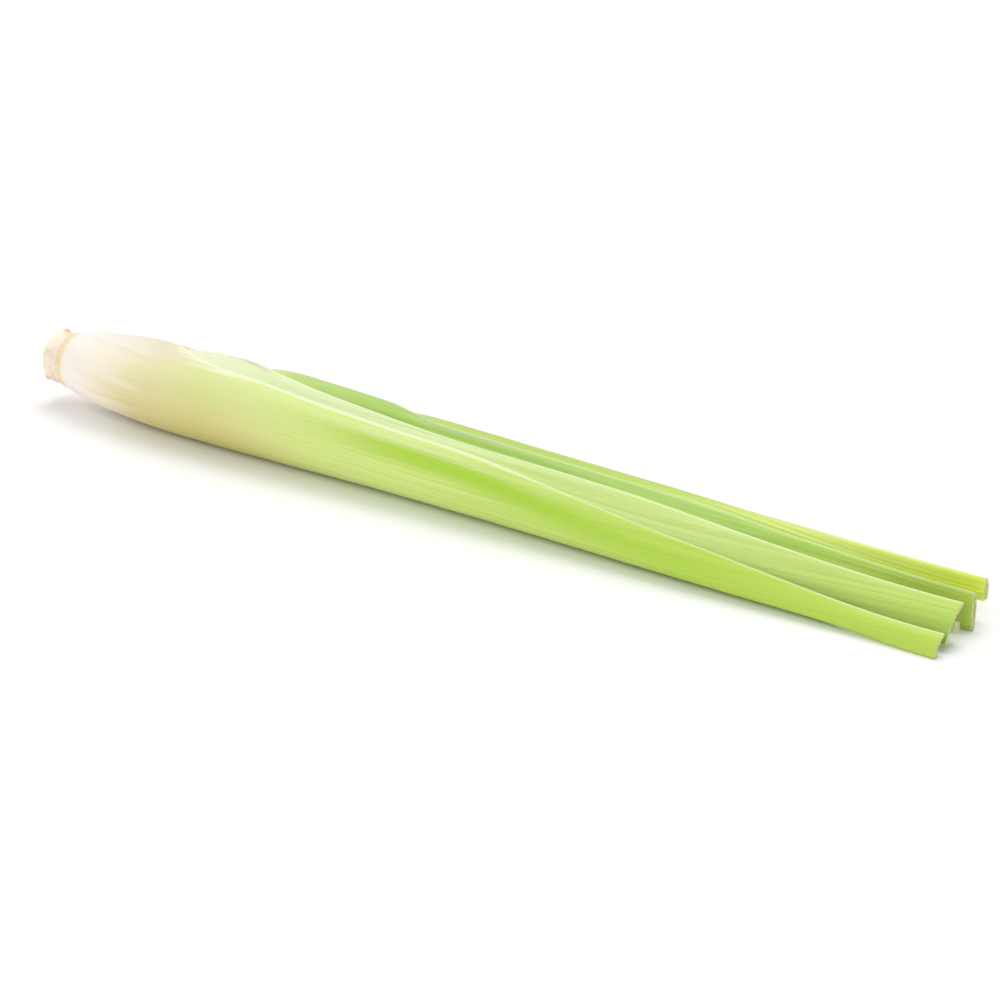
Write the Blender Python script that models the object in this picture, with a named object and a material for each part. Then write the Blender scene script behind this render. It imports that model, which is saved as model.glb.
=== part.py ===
"""Lemongrass stalk: leaf sheaths nested round a short stem, fanning open towards their cut ends.

The stalk lies along X with its root end at -X, and rests on the plane Z = 0.
Section formulas work in millimetres: s runs from the root end, y across and z up.
"""
import math

import bmesh
import bpy

MM = 0.001

# Stalk
LENGTH = 242.3
SHEATH_START = 5.0
START_STEP = 2.4
BULB_RADIUS = 10.95
FLAT_DEPTH = 0.35
BRIDGE_LIFT = 0.22
BRIDGE_FROM = 65.0
BRIDGE_BY = 99.0
OVAL_FROM = 45.0
OVAL_BY = 80.0

# Sheath walls
WALL_BASE = 1.1
WALL_TIP = 0.78
THINNER_FROM = 60.0
THINNER_BY = 200.0
MARGIN_WALL = 0.62
MARGIN_TAPER = 0.10
LAYER_GAP = 0.36
CONTACT_GAP = 0.3
BACK_SINK = 0.36

# Angle beyond a margin over which the layers below rise to the outline: long in the bulb, then short
SPRING_START = 4.0
SPRING_LONG = 62.0
SPRING_SHORT = 42.0
SHORTER_FROM = 50.0
SHORTER_BY = 72.0

# Ribs that run along the leaves
RIB_RISE = 0.1
RIB_FROM = 45.0
RIB_FULL = 120.0

# Outline round all the sheaths: half axes, turn and sideways shift at distances from the root
MAJOR = (
    (5, 6.3), (12, 8.2), (22, 9.6), (40, 10.75), (59, 10.95), (90, 10.6), (120, 10.35), (181, 11.0),
    (242, 12.8)
)
MINOR = (
    (5, 6.3), (12, 8.2), (22, 9.6), (40, 10.75), (59, 10.95), (90, 9.8), (120, 8.8), (181, 6.4), (242, 4.9)
)
TURN = ((59, 15), (120, 25), (242, 25))
SHIFT = ((59, 0.0), (120, -0.2), (181, -0.3), (242, 0.0))

# Sheaths from the outside in. free and tucked are the paths of the two margins, as angles at
# distances from the root. From opens onwards each turns into an arc of its own, whose centre and
# radii are given; the arc runs from the angle in starts to the one in ends.
SHEATHS = {
    "outer_sheath": {
        "free": (
            (29, 50), (38, 70), (48, 92), (59, 101), (100, 102), (120, 101), (150, 111), (181, 123),
            (215, 124), (242, 132)
        ),
        "tucked": ((29, 407), (42, 380), (60, 352), (120, 300), (170, 262), (242, 250)),
        "centre": (-5.45, 0.38), "radii": (5.0, 4.07), "starts": 108, "ends": ((242, 184),),
        "opens": 174, "columns": 40, "colour": (0.74, 0.80, 0.38),
    },
    "second_sheath": {
        "free": (
            (50, 44), (59, 60), (70, 73), (84, 78), (120, 83), (150, 82), (180, 84), (215, 86), (242, 92)
        ),
        "tucked": ((30, 397), (42, 384), (60, 338), (100, 290), (150, 258), (190, 232), (242, 232)),
        "centre": (4.3, -2.8), "radii": (11.5, 11.5), "starts": 107, "ends": ((195, 150), (242, 157)),
        "opens": 163, "columns": 30, "colour": (0.60, 0.76, 0.30),
    },
    "inner_leaf_roll": {
        "free": ((30, 42), (45, 60), (60, 80), (90, 95), (120, 120), (242, 130)),
        "tucked": ((30, 392), (45, 366), (60, 318), (80, 258), (100, 225), (160, 190), (242, 190)),
        "centre": (-1.3, 3.6), "radii": (0.85, 1.2), "starts": 100, "ends": ((195, 380), (232, 422)),
        "opens": 158, "columns": 16, "colour": (0.82, 0.86, 0.52),
    },
    "third_sheath": {
        "free": ((60, 24), (88, 34), (114, 60), (150, 58), (180, 57), (242, 60)),
        "tucked": ((30, 378), (60, 368), (76, 345), (98, 272), (160, 228), (242, 225)),
        "centre": (6.0, 4.7), "radii": (0.7, 4.3), "starts": 105, "ends": ((190, 335), (238, 415)),
        "opens": 163, "columns": 24, "colour": (0.30, 0.52, 0.10),
    },
    "back_sheath": {
        "free": ((30, 95), (120, 96), (155, 90), (178, 70), (242, 70)),
        "tucked": ((30, -255), (70, -200), (120, -80), (180, -60), (242, -60)),
        "centre": (11.1, 6.8), "radii": (0.75, 2.85), "starts": 215, "ends": ((242, -35),),
        "opens": 160, "columns": 24, "colour": (0.55, 0.68, 0.14),
    },
}
ORDER = tuple(SHEATHS)
STATIONS = 28
STATION_CROWDING = 1.35
SLOPE_STEP = 0.004

# Stem stub at the root end
STUB_SIDES = 40
STUB_PROFILE = ((0.0, 5.2), (0.7, 5.95), (1.6, 6.15), (2.7, 6.0), (3.5, 5.55), (4.1, 5.35))
LEDGE_RADIUS = 5.45
LEDGE_RUN = 0.25
LEDGE_CLEARANCE = 0.15
CORE_WAIST = (22.0, 2.0)
CORE_TIP = (30.0, 0.9)
ROOT_SCARS = ((72, 2.0, 0.95), (215, 1.6, 0.7), (318, 2.1, 0.75), (150, 2.3, 0.5), (20, 1.8, 0.6))
SCAR_SPREAD = 13.0
SCAR_DEPTH = 1.0
LOBES = ((3, 0.12, 0.6), (7, 0.08, 2.0))
SMOOTH_FROM = 3.0
SMOOTH_BY = 4.2
STUB_COLOUR = (0.86, 0.78, 0.56)


def ease(a, b, x):
    """0 before a, 1 after b, with a smooth change between."""
    t = min(1.0, max(0.0, (x - a) / (b - a)))
    return t * t * (3 - 2 * t)


def mix(a, b, t):
    return a + (b - a) * t


def along(keys, x):
    """Value at x on a smooth curve through (x, value) keys, without overshoot."""
    if x <= keys[0][0]:
        return keys[0][1]
    if x >= keys[-1][0]:
        return keys[-1][1]
    steps = [b[0] - a[0] for a, b in zip(keys, keys[1:])]
    slopes = [(b[1] - a[1]) / h for a, b, h in zip(keys, keys[1:], steps)]
    bends = [slopes[0]]
    for before, after in zip(slopes, slopes[1:]):
        bends.append(0.0 if before * after <= 0 else 2 * before * after / (before + after))
    bends.append(slopes[-1])
    k = 0
    while x > keys[k + 1][0]:
        k += 1
    h = steps[k]
    t = (x - keys[k][0]) / h
    rise = t * t * (3 - 2 * t)
    leave = t * (1 - t) ** 2 * h * bends[k]
    arrive = t * t * (t - 1) * h * bends[k + 1]
    return mix(keys[k][1], keys[k + 1][1], rise) + leave + arrive


def bundle(s):
    """Centre, half axes and turn of the outline round all the sheaths."""
    major, minor = along(MAJOR, s), along(MINOR, s)
    turn = math.radians(along(TURN, s))
    reach_down = math.hypot(major * math.sin(turn), minor * math.cos(turn))
    lift = mix(-FLAT_DEPTH, BRIDGE_LIFT, ease(BRIDGE_FROM, BRIDGE_BY, s))
    height = mix(BULB_RADIUS, reach_down, ease(OVAL_FROM, OVAL_BY, s)) + lift
    return along(SHIFT, s), height, major, minor, turn


def wall_at(s):
    return mix(WALL_BASE, WALL_TIP, ease(THINNER_FROM, THINNER_BY, s))


def cover(name, s, angle):
    """1 where a sheath lies at this angle, falling to 0 beyond its margins."""
    free, tucked = along(SHEATHS[name]["free"], s), along(SHEATHS[name]["tucked"], s)
    low, high = min(free, tucked), max(free, tucked)
    beyond = min(max(low - t, t - high, 0.0) for t in (angle - 360, angle, angle + 360))
    spring_end = mix(SPRING_LONG, SPRING_SHORT, ease(SHORTER_FROM, SHORTER_BY, s))
    return 1 - ease(SPRING_START, spring_end, beyond)


def depth_of(name, s, angle):
    """How far the middle of a sheath's wall lies below the outline, under the sheaths that cover it."""
    layer = ORDER.index(name)
    step = wall_at(s) + LAYER_GAP
    sunk = sum(step * cover(outer, s, angle) for outer in ORDER[:layer])
    return wall_at(s) / 2 + sunk + (BACK_SINK if name == "back_sheath" else 0.0)


def wall_middle(name, s, u):
    """Middle of the wall at s, with u from 0 at the free margin to 1 at the tucked margin."""
    sheath = SHEATHS[name]
    y0, z0, major, minor, turn = bundle(s)
    angle = mix(along(sheath["free"], s), along(sheath["tucked"], s), u)
    depth = depth_of(name, s, angle)
    across = (major - depth) * math.cos(math.radians(angle))
    upward = (minor - depth) * math.sin(math.radians(angle))
    wrapped_y = y0 + across * math.cos(turn) - upward * math.sin(turn)
    wrapped_z = z0 + across * math.sin(turn) + upward * math.cos(turn)
    opened = math.radians(mix(sheath["starts"], along(sheath["ends"], s), u))
    open_y = sheath["centre"][0] + sheath["radii"][0] * math.cos(opened)
    open_z = sheath["centre"][1] + sheath["radii"][1] * math.sin(opened)
    weight = ease(sheath["opens"], LENGTH, s)
    return mix(wrapped_y, open_y, weight), mix(wrapped_z, open_z, weight)


def sheath_point(name, s, u, side, rib):
    """Point on the outer (side 1) or inner (side -1) face of a sheath."""
    y, z = wall_middle(name, s, u)
    ya, za = wall_middle(name, s, max(0.0, u - SLOPE_STEP))
    yb, zb = wall_middle(name, s, min(1.0, u + SLOPE_STEP))
    run = math.hypot(yb - ya, zb - za)
    sense = 1.0 if SHEATHS[name]["tucked"][0][1] > SHEATHS[name]["free"][0][1] else -1.0
    out_y, out_z = sense * (zb - za) / run, -sense * (yb - ya) / run
    taper = ease(0.0, MARGIN_TAPER, min(u, 1 - u))
    half = mix(MARGIN_WALL, max(MARGIN_WALL, wall_at(s)), taper) / 2
    if side > 0:
        half += rib * RIB_RISE * ease(RIB_FROM, RIB_FULL, s) * taper
    height = max(0.0, z + side * half * out_z)
    return (s - LENGTH / 2) * MM, (y + side * half * out_y) * MM, height * MM


def station_list(start):
    """Distances from the root, closer together near the root end."""
    span = LENGTH - start
    return [start + span * (k / STATIONS) ** STATION_CROWDING for k in range(STATIONS + 1)]


def new_object(name, mesh, colour, roughness):
    """One smooth-shaded object with its own material."""
    material = bpy.data.materials.new(name)
    material.use_nodes = True
    shader = material.node_tree.nodes["Principled BSDF"]
    shader.inputs["Base Color"].default_value = (*colour, 1.0)
    shader.inputs["Roughness"].default_value = roughness
    mesh.materials.append(material)
    part = bpy.data.objects.new(name, mesh)
    bpy.context.collection.objects.link(part)
    mesh.shade_smooth()
    mesh.set_sharp_from_angle(angle=math.radians(40))
    return part


def grow(bm, tip, first):
    """Extrude the tip faces one station on; only the first ones stay, as the closed base."""
    grown = bmesh.ops.extrude_face_region(bm, geom=tip)["geom"]
    if not first:
        bmesh.ops.delete(bm, geom=tip, context="FACES")
    new_tip = [part for part in grown if isinstance(part, bmesh.types.BMFace)]
    return new_tip, [part for part in grown if isinstance(part, bmesh.types.BMVert)]


def build_sheath(name):
    """A leaf sheath: a two-sided strip, extruded from station to station along the stalk."""
    columns = SHEATHS[name]["columns"]
    start = SHEATH_START + START_STEP * ORDER.index(name)
    bm = bmesh.new()
    column_layer = bm.verts.layers.int.new("column")
    side_layer = bm.verts.layers.int.new("side")
    bmesh.ops.create_grid(bm, x_segments=columns, y_segments=1, size=1.0)
    for vert in bm.verts:
        vert[column_layer] = round((vert.co.x + 1) / 2 * columns)
        vert[side_layer] = 1 if vert.co.y > 0 else -1

    def place(verts, s):
        for vert in verts:
            column = vert[column_layer]
            vert.co = sheath_point(name, s, column / columns, vert[side_layer], column % 2)

    stations = station_list(start)
    place(bm.verts, stations[0])
    tip = bm.faces[:]
    for s in stations[1:]:
        tip, new_verts = grow(bm, tip, s == stations[1])
        place(new_verts, s)
    bmesh.ops.recalc_face_normals(bm, faces=bm.faces)
    mesh = bpy.data.meshes.new(name)
    bm.to_mesh(mesh)
    bm.free()
    return new_object(name, mesh, SHEATHS[name]["colour"], 0.5)


def stub_profile():
    """Radius of the stem at distances from the root: cut face, flange, groove, then a ledge per sheath."""
    profile = list(STUB_PROFILE)
    ledge_radius = LEDGE_RADIUS
    for layer in range(len(ORDER)):
        ledge = SHEATH_START + START_STEP * layer - CONTACT_GAP
        profile.append((ledge, ledge_radius))
        sunk = (wall_at(ledge) + LAYER_GAP) * layer + wall_at(ledge) + CONTACT_GAP + LEDGE_CLEARANCE
        if layer == len(ORDER) - 1:
            sunk += BACK_SINK
        profile.append((ledge + LEDGE_RUN, along(MAJOR, ledge) - sunk))
        ledge_radius = along(MAJOR, ledge + START_STEP) - sunk
    return profile + [CORE_WAIST, CORE_TIP]


def build_culm_base():
    """The short stem: cut face, scarred flange, groove, and the tapering core inside the sheaths."""
    bm = bmesh.new()
    profile = stub_profile()
    _, z0, *_ = bundle(0.0)
    angle_layer = bm.verts.layers.float.new("angle")
    disc = bmesh.ops.create_circle(bm, cap_ends=True, segments=STUB_SIDES, radius=1.0)
    for vert in disc["verts"]:
        vert[angle_layer] = math.atan2(vert.co.y, vert.co.x)

    def place(verts, s, radius):
        for vert in verts:
            angle = vert[angle_layer]
            bump = 0.0
            for scar_angle, scar_s, rise in ROOT_SCARS:
                off = (math.degrees(angle) - scar_angle + 180) % 360 - 180
                bump += rise * math.exp(-(off / SCAR_SPREAD) ** 2 - ((s - scar_s) / SCAR_DEPTH) ** 2)
            uneven = sum(rise * math.sin(count * angle + turn) for count, rise, turn in LOBES)
            r = radius + (bump + uneven) * (1 - ease(SMOOTH_FROM, SMOOTH_BY, s))
            vert.co = ((s - LENGTH / 2) * MM, r * math.cos(angle) * MM, (z0 + r * math.sin(angle)) * MM)

    place(disc["verts"], *profile[0])
    tip = bm.faces[:]
    for s, radius in profile[1:]:
        tip, new_verts = grow(bm, tip, s == profile[1][0])
        place(new_verts, s, radius)
    bmesh.ops.recalc_face_normals(bm, faces=bm.faces)
    mesh = bpy.data.meshes.new("culm_base")
    bm.to_mesh(mesh)
    bm.free()
    return new_object("culm_base", mesh, STUB_COLOUR, 0.6)


for old in list(bpy.data.objects):
    bpy.data.objects.remove(old)
build_culm_base()
for sheath_name in ORDER:
    build_sheath(sheath_name)
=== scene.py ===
import math
import random

import bmesh
import bpy
from mathutils import Euler, Matrix


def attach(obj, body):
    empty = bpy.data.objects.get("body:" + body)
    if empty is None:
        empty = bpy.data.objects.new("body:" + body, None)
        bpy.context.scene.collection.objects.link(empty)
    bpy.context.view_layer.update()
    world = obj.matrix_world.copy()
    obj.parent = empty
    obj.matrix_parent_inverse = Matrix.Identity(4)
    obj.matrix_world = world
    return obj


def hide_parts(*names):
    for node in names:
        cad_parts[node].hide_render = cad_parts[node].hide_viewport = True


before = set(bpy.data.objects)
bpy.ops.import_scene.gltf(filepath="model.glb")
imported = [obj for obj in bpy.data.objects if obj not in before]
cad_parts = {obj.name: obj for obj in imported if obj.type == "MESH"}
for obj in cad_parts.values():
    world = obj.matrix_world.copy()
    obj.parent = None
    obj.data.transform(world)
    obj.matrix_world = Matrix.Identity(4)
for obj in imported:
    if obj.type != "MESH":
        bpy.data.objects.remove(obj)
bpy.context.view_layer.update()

# Culm base: the short stub of the true stem at the root end. It is dense pale tissue, cut flat
# by a knife below a swollen flange where trimmed roots left tan scars, with a smooth pinkish
# groove behind the flange. Its core tapers up inside the leaf sheaths, which all rise from it.
MM = 0.001
STALK = 242.3
STUB_SCARS = ((72, 2.0, 0.95), (215, 1.6, 0.7), (318, 2.1, 0.75), (150, 2.3, 0.5), (20, 1.8, 0.6))
STUB_RINGS = ((0.0, 4.9), (0.12, 5.15), (0.35, 5.45), (0.7, 5.9), (1.1, 6.05), (1.6, 6.15), (2.2, 6.12),
              (2.7, 6.0), (3.1, 5.8), (3.4, 5.6), (3.7, 5.42), (4.1, 5.35), (4.7, 5.36), (4.95, 4.9),
              (7.1, 4.1), (9.5, 3.3), (11.9, 2.3), (14.3, 0.9), (22.0, 1.9), (30.0, 0.9))
AXIS_HEIGHT = 10.6
SCAR_SPREAD = 12.0
SCAR_DEPTH = 0.95
SMOOTH_FROM = 3.0
SMOOTH_BY = 4.2
STUB_STATION_STEP = 0.06
CORE_STATION_STEP = 0.9
CUT_FACE_RINGS = (0.93, 0.85, 0.74, 0.62, 0.5, 0.38, 0.26, 0.14)


def ease(a, b, x):
    t = min(1.0, max(0.0, (x - a) / (b - a)))
    return t * t * (3 - 2 * t)


def mix(a, b, t):
    return a + (b - a) * t


def leaf_colour(code):
    """A hex colour as the eye sees it, turned to the linear values the renderer works in."""
    parts = [int(code[k:k + 2], 16) / 255 for k in (1, 3, 5)]
    return (*(c / 12.92 if c <= 0.04045 else ((c + 0.055) / 1.055) ** 2.4 for c in parts), 1.0)


def node(tree, kind, settings=None, links=None):
    """Adds one node: settings are attributes or socket values, links are socket name to output."""
    made = tree.nodes.new(kind)
    for key, value in (settings or {}).items():
        if isinstance(key, str) and hasattr(made, key):
            setattr(made, key, value)
        else:
            made.inputs[key].default_value = value
    for key, output in (links or {}).items():
        tree.links.new(output, made.inputs[key])
    return made


def blend_stops(tree, factor, stops):
    """A colour ramp through (position, hex) stops."""
    ramp = node(tree, "ShaderNodeValToRGB", None, {"Fac": factor})
    while len(ramp.color_ramp.elements) < len(stops):
        ramp.color_ramp.elements.new(0.5)
    for element, (position, code) in zip(ramp.color_ramp.elements, sorted(stops)):
        element.position = position
        element.color = leaf_colour(code)
    return ramp.outputs["Color"]


def stub_radius(s):
    for (s0, r0), (s1, r1) in zip(STUB_RINGS, STUB_RINGS[1:]):
        if s <= s1:
            return mix(r0, r1, ease(s0, s1, s) if s > SMOOTH_BY else (s - s0) / (s1 - s0))
    return STUB_RINGS[-1][1]


def scar_amount(angle, s):
    """How much of a trimmed root's stump rises at this place on the flange."""
    total = 0.0
    for scar_angle, scar_s, rise in STUB_SCARS:
        off = (math.degrees(angle) - scar_angle + 180) % 360 - 180
        total += rise * math.exp(-(off / SCAR_SPREAD) ** 2 - ((s - scar_s) / SCAR_DEPTH) ** 2)
    return total


bm = bmesh.new()
angle_layer = bm.verts.layers.float.new("angle")
scar_layer = bm.verts.layers.float.new("scar")
ring_layer = bm.verts.layers.float.new("ring")
disc = bmesh.ops.create_circle(bm, cap_ends=True, segments=160, radius=1.0)
for vert in disc["verts"]:
    vert[angle_layer] = math.atan2(vert.co.y, vert.co.x)


def place_ring(verts, s, inset=1.0):
    for vert in verts:
        a = vert[angle_layer]
        scar = scar_amount(a, s)
        uneven = 0.12 * math.sin(3 * a + 0.6) + 0.08 * math.sin(7 * a + 2.0)
        uneven += 0.03 * math.sin(17 * a + 1.3 * s)
        rough = 1 - ease(SMOOTH_FROM, SMOOTH_BY, s)
        r = (stub_radius(s) + (scar + uneven) * rough) * inset
        dish = 0.0 if inset == 1.0 else 0.10 * math.sin(5 * a + 9 * inset) * inset
        x = s - STALK / 2 + max(0.0, dish)
        vert.co = (x * MM, r * math.cos(a) * MM, (AXIS_HEIGHT + r * math.sin(a)) * MM)
        vert[scar_layer] = scar * rough
        vert[ring_layer] = s if inset == 1.0 else -inset


place_ring(disc["verts"], 0.0)
tip = bm.faces[:]
stub_stations = [STUB_STATION_STEP * k for k in range(1, 80)]
stub_stations += [4.9 + CORE_STATION_STEP * k for k in range(28)]
for s in stub_stations:
    grown = bmesh.ops.extrude_face_region(bm, geom=tip)["geom"]
    if s != stub_stations[0]:
        bmesh.ops.delete(bm, geom=tip, context="FACES")
    tip = [part for part in grown if isinstance(part, bmesh.types.BMFace)]
    place_ring([part for part in grown if isinstance(part, bmesh.types.BMVert)], s)
cut_face = min(bm.faces, key=lambda f: f.calc_center_median().x)
for inset in CUT_FACE_RINGS:
    grown = bmesh.ops.extrude_face_region(bm, geom=[cut_face])["geom"]
    bmesh.ops.delete(bm, geom=[cut_face], context="FACES")
    cut_face = next(part for part in grown if isinstance(part, bmesh.types.BMFace))
    place_ring([part for part in grown if isinstance(part, bmesh.types.BMVert)], 0.0, inset)
bmesh.ops.recalc_face_normals(bm, faces=bm.faces)
stub_map = bm.loops.layers.uv.new("scar")
for face in bm.faces:
    for loop in face.loops:
        loop[stub_map].uv = (loop.vert[scar_layer], loop.vert[ring_layer])
mesh = bpy.data.meshes.new("culm_stub")
bm.to_mesh(mesh)
bm.free()
mesh.shade_smooth()
culm_stub = bpy.data.objects.new("culm_stub", mesh)
bpy.context.collection.objects.link(culm_stub)

# Peeled stem tissue: moist and dense; matt on the knife cut and a little waxy on the flange and groove,
# though one roughness serves all of it.
stem = bpy.data.materials.new("peeled_stem_tissue")
stem.use_nodes = True
tree = stem.node_tree
skin = tree.nodes["Principled BSDF"]
place = node(tree, "ShaderNodeTexCoord")
where = node(tree, "ShaderNodeUVMap", {"uv_map": "scar"})
parts = node(tree, "ShaderNodeSeparateXYZ", None, {"Vector": where.outputs["UV"]})
along_stub = node(tree, "ShaderNodeMapRange", {"From Min": -1.0, "From Max": 5.5},
                  {"Value": parts.outputs["Y"]})
base = blend_stops(tree, along_stub.outputs["Result"], (
    (0.0, "#F6E9CB"), (0.1, "#F9EED8"), (0.155, "#F2DDB4"), (0.24, "#FDF0DE"), (0.42, "#FDEFDC"),
    (0.58, "#FBEAD4"), (0.68, "#FCEFE2"), (0.82, "#FCF0DC"), (1.0, "#FAE9D0")))
mottle = node(tree, "ShaderNodeTexNoise", {"Scale": 900.0, "Detail": 4.0},
              {"Vector": place.outputs["Object"]})
mottled = node(tree, "ShaderNodeMixRGB", {"blend_type": "MULTIPLY", "Fac": 0.22},
               {"Color1": base, "Color2": blend_stops(tree, mottle.outputs["Fac"], (
                   (0.35, "#E4C48C"), (0.55, "#FFFFFF"), (0.75, "#F5E3C0")))})
scar_tint = blend_stops(tree, parts.outputs["X"], (
    (0.0, "#FAEBCF"), (0.3, "#F3D6A2"), (0.6, "#E9B768"), (0.85, "#E8982A"), (1.0, "#CF8226")))
scarred = node(tree, "ShaderNodeMapRange", {"From Min": 0.2, "From Max": 0.75},
               {"Value": parts.outputs["X"]})
tinted = node(tree, "ShaderNodeMixRGB", None, {
    "Fac": scarred.outputs["Result"], "Color1": mottled.outputs["Color"], "Color2": scar_tint})
tree.links.new(tinted.outputs["Color"], skin.inputs["Base Color"])
pits = node(tree, "ShaderNodeTexVoronoi", {"Scale": 1500.0}, {"Vector": place.outputs["Object"]})
grainy = node(tree, "ShaderNodeMath", {"operation": "ADD"},
              {0: pits.outputs["Distance"], 1: mottle.outputs["Fac"]})
raised = node(tree, "ShaderNodeBump", {"Strength": 0.35, "Distance": 0.0003},
              {"Height": grainy.outputs["Value"]})
tree.links.new(raised.outputs["Normal"], skin.inputs["Normal"])
skin.inputs["Roughness"].default_value = 0.5
skin.inputs["Subsurface Weight"].default_value = 0.25
skin.inputs["Subsurface Radius"].default_value = (1.0, 0.7, 0.4)
skin.inputs["Subsurface Scale"].default_value = 0.002
culm_stub.data.materials.append(stem)
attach(culm_stub, "root")
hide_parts("culm_base")

# Outer sheath: the outermost leaf base, a living sheet about a millimetre thick. It is a closed
# ring round the bulb, cream at first and greener upwards, then opens along its whitish free
# margin and narrows to the strip along the front. Parallel veins raise fine ribs all along it.
WALL_BASE = 1.1
WALL_TIP = 0.78
MARGIN_WALL = 0.62
LAYER_GAP = 0.36
SHEATH_START = 5.0
START_STEP = 2.4
BULB_RADIUS = 10.95
FLAT_DEPTH = 0.35
BRIDGE_LIFT = 0.22
SPRING_START = 4.0
SPRING_LONG = 62.0
SPRING_SHORT = 42.0
SKIN_INSET = 0.13
SKIN_WAVER = 0.03
MARGIN_ROUNDING = 0.12
MAJOR = (
    (5, 6.3), (12, 8.2), (22, 9.6), (40, 10.75), (59, 10.95), (90, 10.6), (120, 10.35), (181, 11.0),
    (242, 12.8)
)
MINOR = (
    (5, 6.3), (12, 8.2), (22, 9.6), (40, 10.75), (59, 10.95), (90, 9.8), (120, 8.8), (181, 6.4), (242, 4.9)
)
TURN = ((59, 15), (120, 25), (242, 25))
SHIFT = ((59, 0.0), (120, -0.2), (181, -0.3), (242, 0.0))
laid = []
rough_edge = random.Random(11)


def along(keys, x):
    """Value at x on a smooth curve through (x, value) keys, without overshoot."""
    if x <= keys[0][0]:
        return keys[0][1]
    if x >= keys[-1][0]:
        return keys[-1][1]
    steps = [b[0] - a[0] for a, b in zip(keys, keys[1:])]
    slopes = [(b[1] - a[1]) / h for a, b, h in zip(keys, keys[1:], steps)]
    bends = [slopes[0]]
    for before, after in zip(slopes, slopes[1:]):
        bends.append(0.0 if before * after <= 0 else 2 * before * after / (before + after))
    bends.append(slopes[-1])
    k = 0
    while x > keys[k + 1][0]:
        k += 1
    h = steps[k]
    t = (x - keys[k][0]) / h
    smooth = mix(keys[k][1], keys[k + 1][1], t * t * (3 - 2 * t))
    return smooth + t * (1 - t) ** 2 * h * bends[k] + t * t * (t - 1) * h * bends[k + 1]


def bundle(s):
    """Centre, half axes and turn of the outline round all the sheaths at s."""
    major, minor = along(MAJOR, s), along(MINOR, s)
    turn = math.radians(along(TURN, s))
    reach_down = math.hypot(major * math.sin(turn), minor * math.cos(turn))
    lift = mix(-FLAT_DEPTH, BRIDGE_LIFT, ease(65, 99, s))
    height = mix(BULB_RADIUS, reach_down, ease(45, 80, s)) + lift
    return along(SHIFT, s), height, major, minor, turn


def wall_at(s):
    return mix(WALL_BASE, WALL_TIP, ease(60, 200, s))


def sheath_row(sheath, s, columns):
    """One row of points across a sheath at s: place, outward direction and distance round."""
    y0, z0, major, minor, turn = bundle(s)
    free, tucked = along(sheath["free"], s), along(sheath["tucked"], s)
    step = wall_at(s) + LAYER_GAP
    spring = mix(SPRING_LONG, SPRING_SHORT, ease(50, 72, s))
    edges = [sorted((along(outer["free"], s), along(outer["tucked"], s))) for outer in laid]
    opening = ease(sheath["opens"], STALK, s)
    points = []
    for k in range(columns + 1):
        u = k / columns
        angle = mix(free, tucked, u)
        depth = wall_at(s) / 2 + sheath.get("sink", 0.0)
        for low, high in edges:
            beyond = min(max(low - t, t - high, 0.0) for t in (angle - 360, angle, angle + 360))
            depth += step * (1 - ease(SPRING_START, spring, beyond))
        a = math.radians(angle)
        across, upward = (major - depth) * math.cos(a), (minor - depth) * math.sin(a)
        b = math.radians(mix(sheath["starts"], along(sheath["ends"], s), u))
        open_y = sheath["centre"][0] + sheath["radii"][0] * math.cos(b)
        open_z = sheath["centre"][1] + sheath["radii"][1] * math.sin(b)
        points.append((mix(y0 + across * math.cos(turn) - upward * math.sin(turn), open_y, opening),
                       mix(z0 + across * math.sin(turn) + upward * math.cos(turn), open_z, opening)))
    rounds = [0.0]
    for before, after in zip(points, points[1:]):
        rounds.append(rounds[-1] + math.dist(before, after))
    at_keel = (sheath["keel"] - free) / (tucked - free) * columns
    keel = mix(rounds[int(at_keel)], rounds[int(at_keel) + 1], at_keel % 1)
    sense = 1.0 if tucked > free else -1.0
    row = []
    for k, (y, z) in enumerate(points):
        ya, za = points[max(0, k - 1)]
        yb, zb = points[min(columns, k + 1)]
        run = math.hypot(yb - ya, zb - za) or 1.0
        row.append((y, z, sense * (zb - za) / run, -sense * (yb - ya) / run, rounds[k] - keel,
                    rounds[k], rounds[-1] - rounds[k]))
    return row


def wavering(x, seed):
    """A smooth random line between -1 and 1."""
    return (math.sin(x + seed) + math.sin(2.3 * x + 1.7 * seed) + math.sin(4.1 * x + 0.6 * seed)) / 3


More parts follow.
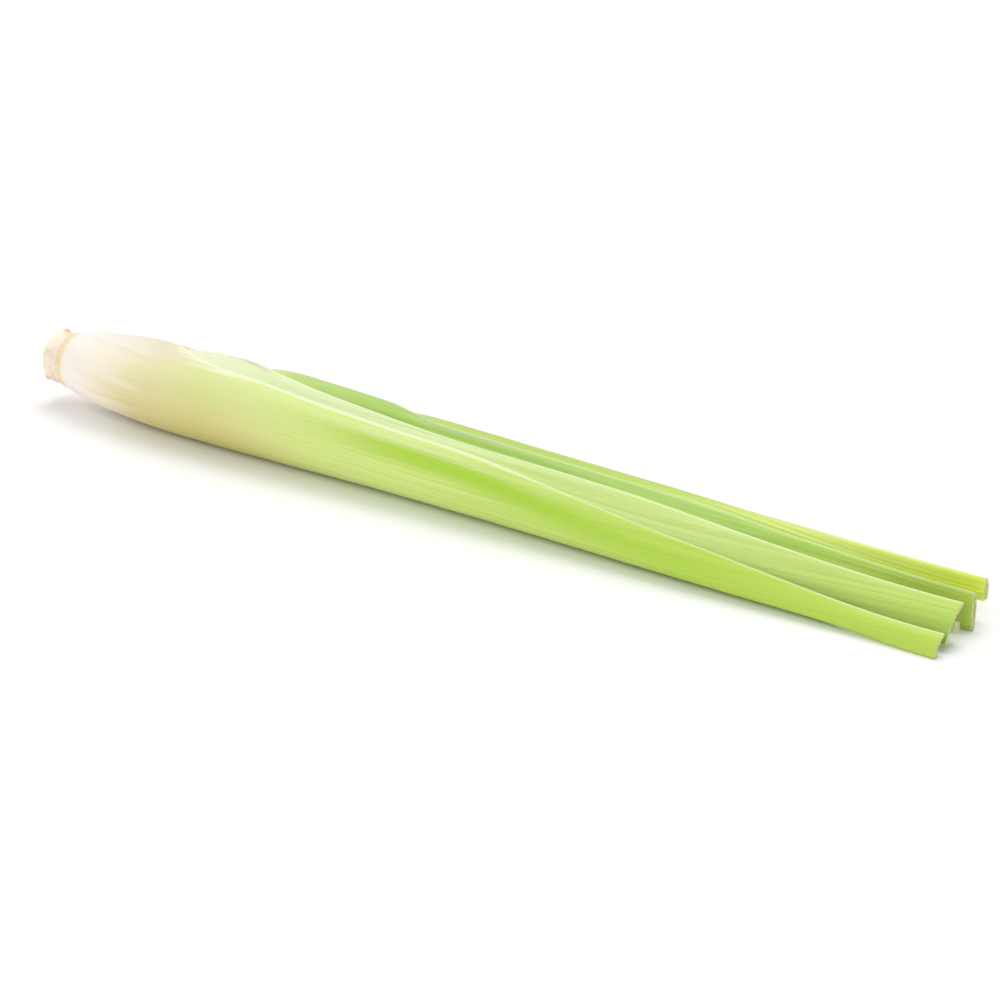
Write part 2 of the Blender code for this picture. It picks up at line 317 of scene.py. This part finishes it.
def lay_sheath(sheath, columns, rows):
    """Grows one leaf sheath: a fine grid laid round the bundle, ribbed, then given its wall."""
    start = SHEATH_START + START_STEP * len(laid)
    name = sheath["name"]
    bm = bmesh.new()
    grain = bm.verts.layers.float_vector.new("grain")
    margin = bm.verts.layers.float_vector.new("margin")
    down = bm.verts.layers.float.new("down")
    bmesh.ops.create_grid(bm, x_segments=columns, y_segments=rows, size=1.0)
    grid = {}
    for vert in bm.verts:
        k, j = round((vert.co.x + 1) / 2 * columns), round((vert.co.y + 1) / 2 * rows)
        grid.setdefault(j, {})[k] = vert
    for j, verts in grid.items():
        s = start + (STALK - 0.03 - start) * (j / rows) ** 1.12
        row = sheath_row(sheath, s, columns)
        for k, vert in verts.items():
            y, z, out_y, out_z, arc, from_free, from_tucked = row[k]
            edge = min(from_free, from_tucked)
            uneven_pitch = 1.2 * wavering(arc * 0.9, 3.1)
            ribs = 0.5 + 0.5 * math.sin(2 * math.pi * arc / sheath["rib_pitch"] + uneven_pitch)
            height = sheath["rib_rise"] * ribs * ease(38, 120, s) * ease(0.2, 1.6, edge)
            waver = SKIN_WAVER * wavering(s * 0.11 + arc * 0.25, sheath["seed"])
            height += waver * ease(0.4, 2.5, edge) - SKIN_INSET * ease(8, 30, s)
            height += sheath.get("rim", 0.0) * math.exp(-((s - start - 1.1) / 0.95) ** 2)
            near_mouth = math.exp(-((s - 47) / 8) ** 2)
            fray = sheath.get("fray", 0.0) * near_mouth * math.exp(-from_free / 0.7)
            pull = fray * (wavering(s * 3.7, 2.0) + 0.6 * rough_edge.uniform(-1, 1))
            z_out = z + height * out_z + pull * out_y
            low = wall_at(s) / 2
            vert.co = ((s - STALK / 2) * MM, (y + height * out_y - pull * out_z) * MM,
                       max(z_out, low) * MM)
            vert[grain] = (arc, s, 0.0)
            vert[margin] = (from_free, from_tucked, 0.0)
            vert[down] = 0.5 - 0.5 * out_z
    grain_map = bm.loops.layers.uv.new("grain")
    margin_map = bm.loops.layers.uv.new("margin")
    for face in bm.faces:
        for loop in face.loops:
            loop[grain_map].uv = loop.vert[grain].xy
            loop[margin_map].uv = loop.vert[margin].xy
    if sheath["tucked"][0][1] > sheath["free"][0][1]:
        bmesh.ops.reverse_faces(bm, faces=bm.faces)
    mesh = bpy.data.meshes.new(name)
    bm.to_mesh(mesh)
    bm.free()
    mesh.shade_smooth()
    piece = bpy.data.objects.new(name, mesh)
    bpy.context.collection.objects.link(piece)
    thin = piece.vertex_groups.new(name="wall")
    for vert, layer in zip(mesh.vertices, mesh.attributes["margin"].data):
        edge = min(layer.vector[0], layer.vector[1])
        s = vert.co.x / MM + STALK / 2
        thin.add([vert.index], mix(MARGIN_WALL, wall_at(s), ease(0.0, 2.2, edge)) / WALL_BASE, "REPLACE")
    wall = piece.modifiers.new("wall", "SOLIDIFY")
    wall.thickness = WALL_BASE * MM
    wall.offset = 0.0
    wall.vertex_group = "wall"
    wall.use_rim = True
    wall.material_offset_rim = 1
    rounded = piece.modifiers.new("rounded_edges", "BEVEL")
    rounded.width = MARGIN_ROUNDING * MM
    rounded.segments = 2
    rounded.limit_method = "ANGLE"
    rounded.angle_limit = math.radians(50)
    laid.append(sheath)
    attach(piece, "root")
    return piece


def mask(tree, strength, places, limits):
    """Strength where each named place has passed from its first bound to its second."""
    amount = None
    for where, start, end in limits:
        passed = node(tree, "ShaderNodeMapRange", {"interpolation_type": "SMOOTHSTEP", "From Min": start,
                                                   "From Max": end}, {"Value": places[where]})
        if amount is None:
            amount = node(tree, "ShaderNodeMath", {"operation": "MULTIPLY", 1: strength},
                          {0: passed.outputs["Result"]}).outputs["Value"]
        else:
            amount = node(tree, "ShaderNodeMath", {"operation": "MULTIPLY"},
                          {0: passed.outputs["Result"], 1: amount}).outputs["Value"]
    return amount


def leaf_tissue(name, stops, streak, streak_amount, vein_step, washes, gloss=0.42):
    """Living grass leaf: waxy skin over translucent tissue, striped by its parallel veins.

    stops colour it from root to tip and streak is the darker green between the veins. Each wash is
    a colour, its strength, and the places it stays within: s and ragged are mm from the root (the
    second in tongues that follow the veins), free is mm from the free margin, down is 0 where the
    skin faces up and 1 where it faces the ground, broad and fine are 0 to 1 across the broad bands
    between the main veins and across the fine veins.
    """
    material = bpy.data.materials.new(name)
    material.use_nodes = True
    tree = material.node_tree
    skin = tree.nodes["Principled BSDF"]
    grain = node(tree, "ShaderNodeUVMap", {"uv_map": "grain"})
    grain_parts = node(tree, "ShaderNodeSeparateXYZ", None, {"Vector": grain.outputs["UV"]})
    edge = node(tree, "ShaderNodeUVMap", {"uv_map": "margin"})
    edge_parts = node(tree, "ShaderNodeSeparateXYZ", None, {"Vector": edge.outputs["UV"]})
    facing = node(tree, "ShaderNodeAttribute", {"attribute_name": "down"})

    def stretched_noise(across, lengthwise, detail):
        place = node(tree, "ShaderNodeMapping", {"Scale": (across, lengthwise, 1.0)},
                     {"Vector": grain.outputs["UV"]})
        return node(tree, "ShaderNodeTexNoise", {"Scale": 1.0, "Detail": detail, "Roughness": 0.62},
                    {"Vector": place.outputs["Vector"]}).outputs["Fac"]

    # The bulb greens unevenly, in tongues that follow the veins
    ragged = node(tree, "ShaderNodeMath", {"operation": "MULTIPLY_ADD", 1: 26.0},
                  {0: stretched_noise(0.45, 0.02, 3.0), 2: grain_parts.outputs["Y"]}).outputs["Value"]
    length = node(tree, "ShaderNodeMapRange", {"From Min": 13.0, "From Max": STALK + 13.0},
                  {"Value": ragged})
    shown = blend_stops(tree, length.outputs["Result"], stops)
    # Broad bands between the main veins, then the fine veins themselves
    broad = stretched_noise(0.42, 0.006, 4.0)
    fine = stretched_noise(1.0 / vein_step, 0.012, 2.0)
    places = {"s": grain_parts.outputs["Y"], "ragged": ragged, "free": edge_parts.outputs["X"],
              "down": facing.outputs["Fac"], "broad": broad, "fine": fine}
    between_veins = ("ragged", 62, 125)
    stripes = ((streak, 0.45 * streak_amount, (("broad", 0.40, 0.62), between_veins)),
               (streak, 0.8 * streak_amount, (("fine", 0.42, 0.60), between_veins)))
    for code, strength, limits in stripes + tuple(washes):
        amount = mask(tree, strength, places, limits)
        shown = node(tree, "ShaderNodeMixRGB", {"Color2": leaf_colour(code)},
                     {"Fac": amount, "Color1": shown}).outputs["Color"]
    tree.links.new(shown, skin.inputs["Base Color"])
    # Veins about half a millimetre apart stand up a few hundredths; cells grain the skin
    cells = node(tree, "ShaderNodeMath", {"operation": "MULTIPLY", 1: 0.25},
                 {0: stretched_noise(9.0, 1.6, 2.0)})
    skin_height = node(tree, "ShaderNodeMath", {"operation": "ADD"}, {0: fine, 1: cells.outputs["Value"]})
    raised = node(tree, "ShaderNodeBump", {"Strength": 0.5, "Distance": 0.00016},
                  {"Height": skin_height.outputs["Value"]})
    tree.links.new(raised.outputs["Normal"], skin.inputs["Normal"])
    skin.inputs["Roughness"].default_value = gloss
    skin.inputs["Specular IOR Level"].default_value = 0.4
    skin.inputs["Subsurface Weight"].default_value = 0.22
    skin.inputs["Subsurface Radius"].default_value = (0.7, 1.0, 0.25)
    skin.inputs["Subsurface Scale"].default_value = 0.0016
    return material


# Knife-cut leaf edge: wet torn cells and the pale ends of veins, duller than the skin
cut_tissue = bpy.data.materials.new("cut_leaf_edge")
cut_tissue.use_nodes = True
tree = cut_tissue.node_tree
skin = tree.nodes["Principled BSDF"]
place = node(tree, "ShaderNodeTexCoord")
vein_ends = node(tree, "ShaderNodeTexVoronoi", {"Scale": 1800.0}, {"Vector": place.outputs["Object"]})
cloudy = node(tree, "ShaderNodeTexNoise", {"Scale": 700.0, "Detail": 3.0},
              {"Vector": place.outputs["Object"]})
edge_colour = node(tree, "ShaderNodeMixRGB", {"Fac": 0.5}, {
    "Color1": blend_stops(tree, vein_ends.outputs["Distance"], (
        (0.0, "#EFECCB"), (0.35, "#D2CF9C"), (0.8, "#A3A263"))),
    "Color2": blend_stops(tree, cloudy.outputs["Fac"], ((0.3, "#B5AE86"), (0.7, "#DEDDB2")))})
# The same rim runs along the margins, where it is uncut skin: cream at the bulb, then light green
grain = node(tree, "ShaderNodeUVMap", {"uv_map": "grain"})
grain_parts = node(tree, "ShaderNodeSeparateXYZ", None, {"Vector": grain.outputs["UV"]})
greener = node(tree, "ShaderNodeMapRange", {"From Min": 20.0, "From Max": 220.0},
               {"Value": grain_parts.outputs["Y"]})
uncut = blend_stops(tree, greener.outputs["Result"], (
    (0.0, "#F4EED6"), (0.16, "#EEF0CC"), (0.35, "#DCE9AC"), (0.6, "#CBE08A"), (1.0, "#C2D97C")))
cut_end = mask(tree, 1.0, {"s": grain_parts.outputs["Y"]}, (("s", STALK - 0.5, STALK - 0.1),))
rim_colour = node(tree, "ShaderNodeMixRGB", None, {
    "Fac": cut_end, "Color1": uncut, "Color2": edge_colour.outputs["Color"]})
tree.links.new(rim_colour.outputs["Color"], skin.inputs["Base Color"])
raised = node(tree, "ShaderNodeBump", {"Strength": 0.4, "Distance": 0.0002},
              {"Height": vein_ends.outputs["Distance"]})
tree.links.new(raised.outputs["Normal"], skin.inputs["Normal"])
skin.inputs["Roughness"].default_value = 0.55
skin.inputs["Subsurface Weight"].default_value = 0.15
skin.inputs["Subsurface Radius"].default_value = (0.7, 1.0, 0.3)
skin.inputs["Subsurface Scale"].default_value = 0.0015

outer = lay_sheath({
    "name": "outer_leaf_sheath", "seed": 1.0, "keel": 190, "rib_pitch": 2.1, "rib_rise": 0.06, "rim": 0.28,
    "fray": 0.35,
    "free": (
        (29, 50), (38, 70), (48, 92), (59, 101), (100, 102), (120, 101), (150, 111), (181, 123),
        (215, 124), (242, 132)
    ),
    "tucked": ((29, 407), (42, 380), (60, 352), (120, 300), (170, 262), (242, 250)),
    "centre": (-5.45, 0.38), "radii": (5.0, 4.07), "starts": 108, "ends": ((242, 184),), "opens": 174,
}, 150, 230)
outer.data.materials.append(leaf_tissue(
    "outer_leaf_tissue",
    ((0.0, "#F8EADA"), (0.05, "#FDF3EA"), (0.095, "#F9F1DA"), (0.145, "#E9E4B4"), (0.21, "#DDE49A"),
     (0.27, "#DEE99A"), (0.35, "#DBEA8E"), (0.45, "#DAEA8C"), (0.6, "#CEE379"), (0.76, "#BEDA56"),
     (1.0, "#BCD657")),
    "#9FCA3C", 0.3, 0.55, (
        ("#DCD0DC", 0.3, (("down", 0.16, 0.02), ("ragged", 24, 34), ("ragged", 66, 50))),
        # Painted shade and painted reflected light: tan, then olive, where the bulb's skin faces the ground,
        # darker towards the bottom
        ("#D6C680", 0.78, (("down", 0.12, 0.66), ("ragged", 26, 50), ("ragged", 105, 62))),
        ("#B9B45A", 0.45, (("down", 0.45, 0.95), ("ragged", 40, 66), ("ragged", 125, 70))),
        ("#A6D018", 0.8, (("free", 1.2, 4.4), ("free", 9.0, 4.8), ("s", 76, 114), ("s", 215, 130))),
        ("#EDC6BC", 0.25, (("free", 8.0, 1.0), ("s", 24, 34), ("s", 48, 38))),
        ("#F0D28E", 0.7, (("s", 8.2, 7.0), ("s", 5.0, 5.8), ("fine", 0.2, 0.5))),
        ("#F5F5E4", 0.7, (("free", 4.6, 0.4), ("fine", 0.46, 0.6), ("s", 36, 43), ("s", 68, 54))),
        ("#F6F8E8", 0.8, (("free", 1.0, 0.2), ("s", 175, 110))),
        ("#EEF3D0", 0.5, (("free", 1.2, 2.2), ("free", 3.9, 2.6), ("fine", 0.44, 0.58),
                          ("s", 60, 84), ("s", 160, 105))),
        ("#E6F0B8", 0.5, (("free", 0.7, 0.1),)))))
outer.data.materials.append(cut_tissue)
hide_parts("outer_sheath")

# Second sheath: the next leaf base in, rising inside the outer one. Its pale margin comes over
# the top just past the outer sheath's mouth, and from there its light green striped face shows.
second = lay_sheath({
    "name": "second_leaf_sheath", "seed": 2.0, "keel": 165, "rib_pitch": 1.7, "rib_rise": 0.055,
    "free": ((50, 44), (59, 60), (70, 73), (84, 78), (120, 83), (150, 82), (180, 84), (215, 86), (242, 92)),
    "tucked": ((30, 397), (42, 384), (60, 338), (100, 290), (150, 258), (190, 232), (242, 232)),
    "centre": (4.3, -2.8), "radii": (11.5, 11.5), "starts": 107, "ends": ((195, 150), (242, 157)),
    "opens": 163,
}, 130, 200)
second.data.materials.append(leaf_tissue(
    "second_leaf_tissue",
    ((0.0, "#F5EBD2"), (0.16, "#E8ECCB"), (0.28, "#D9E8AC"), (0.44, "#DCECB0"), (0.6, "#D5E796"),
     (0.76, "#CFE38B"), (0.88, "#BCD46A"), (1.0, "#B8D25A")),
    "#A6CC50", 0.36, 0.6, (
        # Painted shade: darker green over the lower part of the face, away from the free margin, near the
        # cut end
        ("#84A23C", 0.8, (("free", 3.5, 10.5), ("s", 168, 205))),
        ("#D8E4C8", 0.45, (("ragged", 56, 66), ("s", 120, 80), ("fine", 0.45, 0.6))),
        ("#DDA9BC", 0.7, (("free", 2.4, 0.5), ("s", 52, 57), ("s", 69, 60))),
        ("#F1F7DA", 0.4, (("free", 0.8, 0.15),)))))
second.data.materials.append(cut_tissue)
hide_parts("second_sheath")

# Inner leaf roll: a young, still rolled leaf. It is wrapped in the bulb like the others, narrows
# behind the second sheath, and ends as a small pale tube at the cut.
roll = lay_sheath({
    "name": "young_leaf_roll", "seed": 3.0, "keel": 160, "rib_pitch": 1.2, "rib_rise": 0.04,
    "free": ((30, 42), (45, 60), (60, 80), (90, 95), (120, 120), (242, 130)),
    "tucked": ((30, 392), (45, 366), (60, 318), (80, 258), (100, 225), (160, 190), (242, 190)),
    "centre": (-1.3, 3.6), "radii": (0.85, 1.2), "starts": 100, "ends": ((195, 380), (232, 422)),
    "opens": 158,
}, 64, 150)
roll.data.materials.append(leaf_tissue(
    "young_leaf_tissue",
    ((0.0, "#F5EBD2"), (0.3, "#E8ECB8"), (0.7, "#D8E496"), (1.0, "#E2EBB0")),
    "#B4D068", 0.4, 0.5, (("#F3F7DE", 0.4, (("free", 0.8, 0.15),)),)))
roll.data.materials.append(cut_tissue)
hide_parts("inner_leaf_roll")

# Third sheath: an older blade folded along its keel, darker green. Only a narrow strip of it
# shows between the second and back sheaths until its tall folded end stands free at the cut.
third = lay_sheath({
    "name": "third_leaf_sheath", "seed": 4.0, "keel": 140, "rib_pitch": 1.5, "rib_rise": 0.06,
    "free": ((60, 24), (88, 34), (114, 60), (150, 58), (180, 57), (242, 60)),
    "tucked": ((30, 378), (60, 368), (76, 345), (98, 272), (160, 228), (242, 225)),
    "centre": (6.0, 4.7), "radii": (0.7, 4.3), "starts": 105, "ends": ((190, 335), (238, 415)), "opens": 163,
}, 100, 190)
third.data.materials.append(leaf_tissue(
    "third_leaf_tissue",
    ((0.0, "#F3EBCB"), (0.2, "#E0E9A8"), (0.3, "#BAD578"), (0.42, "#AFCE64"), (0.62, "#A9CA5C"),
     (0.78, "#A9CB55"), (0.9, "#C6E060"), (1.0, "#D0E466")),
    "#86B040", 0.4, 0.55, (
        ("#A99C9C", 0.4, (("free", 1.8, 0.4), ("s", 100, 110), ("s", 140, 122))),
        # Painted shade: darker green where the skin faces the ground, near the cut end
        ("#8FB83A", 0.4, (("down", 0.25, 0.65), ("s", 190, 225))),
        ("#E3EFC0", 0.35, (("free", 0.8, 0.15),))), gloss=0.4))
third.data.materials.append(cut_tissue)
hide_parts("third_sheath")

# Back sheath: the innermost of the big leaves. It springs out of the mouth of the others and
# covers the top and back, yellow-green with strong ribs, and ends as a hooked edge at the cut.
back = lay_sheath({
    "name": "back_leaf_sheath", "seed": 5.0, "keel": 10, "rib_pitch": 1.6, "rib_rise": 0.065, "sink": 0.36,
    "free": ((30, 95), (120, 96), (155, 90), (178, 70), (242, 70)),
    "tucked": ((30, -255), (70, -200), (120, -80), (180, -60), (242, -60)),
    "centre": (11.1, 6.8), "radii": (0.75, 2.85), "starts": 215, "ends": ((242, -35),), "opens": 160,
}, 110, 190)
back.data.materials.append(leaf_tissue(
    "back_leaf_tissue",
    ((0.0, "#F3EBCB"), (0.2, "#DFE89C"), (0.36, "#C0D76C"), (0.58, "#B9D266"), (0.72, "#C2D868"),
     (0.84, "#DCEC82"), (1.0, "#E6F05C")),
    "#9DBB2C", 0.4, 0.7, (("#EAF2C0", 0.35, (("free", 0.8, 0.15),)),)))
back.data.materials.append(cut_tissue)
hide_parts("back_sheath")

# Floor: a white seamless sheet, so that the stalk lies on a plain bright ground.
bm = bmesh.new()
bmesh.ops.create_grid(bm, x_segments=1, y_segments=1, size=3.0)
mesh = bpy.data.meshes.new("white_sheet")
bm.to_mesh(mesh)
bm.free()
white_sheet = bpy.data.objects.new("white_sheet", mesh)
bpy.context.collection.objects.link(white_sheet)
paper = bpy.data.materials.new("white_background_paper")
paper.use_nodes = True
skin = paper.node_tree.nodes["Principled BSDF"]
skin.inputs["Base Color"].default_value = leaf_colour("#F8F8F8")
skin.inputs["Roughness"].default_value = 0.9
skin.inputs["Specular IOR Level"].default_value = 0.2
mesh.materials.append(paper)

# Light: a bright even room, one large soft lamp above and behind, and a weaker one in front.
world = bpy.data.worlds.new("bright_room")
bpy.context.scene.world = world
world.use_nodes = True
world.node_tree.nodes["Background"].inputs["Color"].default_value = (1.0, 1.0, 1.0, 1.0)
world.node_tree.nodes["Background"].inputs["Strength"].default_value = 0.66


def soft_lamp(name, place, size, power):
    """A square soft lamp that faces the stalk."""
    light = bpy.data.lights.new(name, "AREA")
    light.size = size
    light.energy = power
    lamp = bpy.data.objects.new(name, light)
    bpy.context.collection.objects.link(lamp)
    lamp.location = place
    from_lamp = -lamp.location.normalized()
    lamp.rotation_euler = from_lamp.to_track_quat("-Z", "Y").to_euler()


soft_lamp("lamp_above", (-0.15, 0.45, 1.1), 0.9, 7.0)
soft_lamp("lamp_front", (0.1, -1.0, 0.8), 0.9, 3.6)

# Camera: where the photograph was taken from, low over the leaf end, with its slight off-centre frame.
AZIMUTH = 34.9
ELEVATION = 22.0
DISTANCE = 0.72
ROLL = 0.0038
FOCUS_X = -0.00135
FOCUS_Z = 0.008
view = bpy.data.cameras.new("photo_view")
view.sensor_width = 36.0
view.lens = 116.95
view.shift_x = 0.036
view.shift_y = -0.0265
camera = bpy.data.objects.new("photo_view", view)
bpy.context.collection.objects.link(camera)
a, e = math.radians(AZIMUTH), math.radians(ELEVATION)
standpoint = Matrix.Translation((FOCUS_X + DISTANCE * math.sin(a) * math.cos(e),
                                 -DISTANCE * math.cos(a) * math.cos(e), FOCUS_Z + DISTANCE * math.sin(e)))
facing = Euler((math.radians(90 - ELEVATION), 0.0, a)).to_matrix().to_4x4()
camera.matrix_world = standpoint @ facing @ Matrix.Rotation(ROLL, 4, "Z")
bpy.context.scene.camera = camera
bpy.context.scene.view_settings.view_transform = "Standard"
